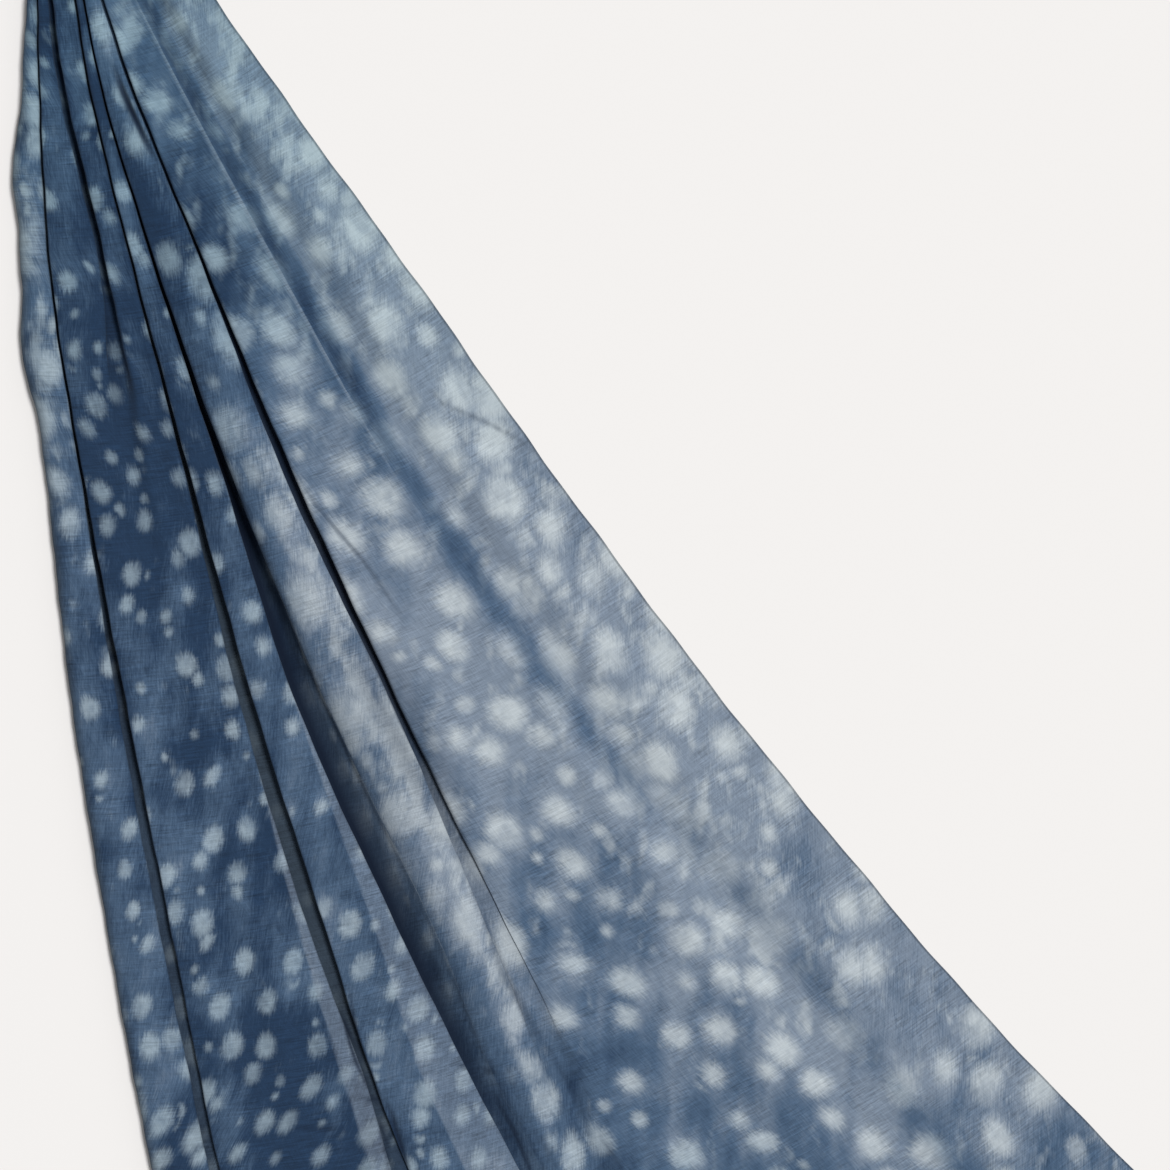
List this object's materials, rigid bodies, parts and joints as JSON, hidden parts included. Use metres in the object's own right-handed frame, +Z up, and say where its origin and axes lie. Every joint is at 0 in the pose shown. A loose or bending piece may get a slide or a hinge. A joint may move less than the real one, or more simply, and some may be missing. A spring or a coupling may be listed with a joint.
{
  "type": "printed lawn fabric, gathered cut length",
  "caption": "Thin printed lawn cloth, gathered at its head and fanned out in soft rolls, deep tucks and one wide low panel; it lies flat on a surface.",
  "frame": {"origin": "centre of the cloth's footprint, on the surface that it lies on", "axes": "+Z up from the surface, +Y towards the gathered head, +X towards the free right-hand selvedge"},
  "size_m": [0.7232, 0.7856, 0.0266],
  "materials": {
    "lawn": "matt, fine slubbed plain weave with pale brushed spots on indigo"
  },
  "bodies": {
    "root": {"cloth": "lawn"}
  },
  "joints": []
}
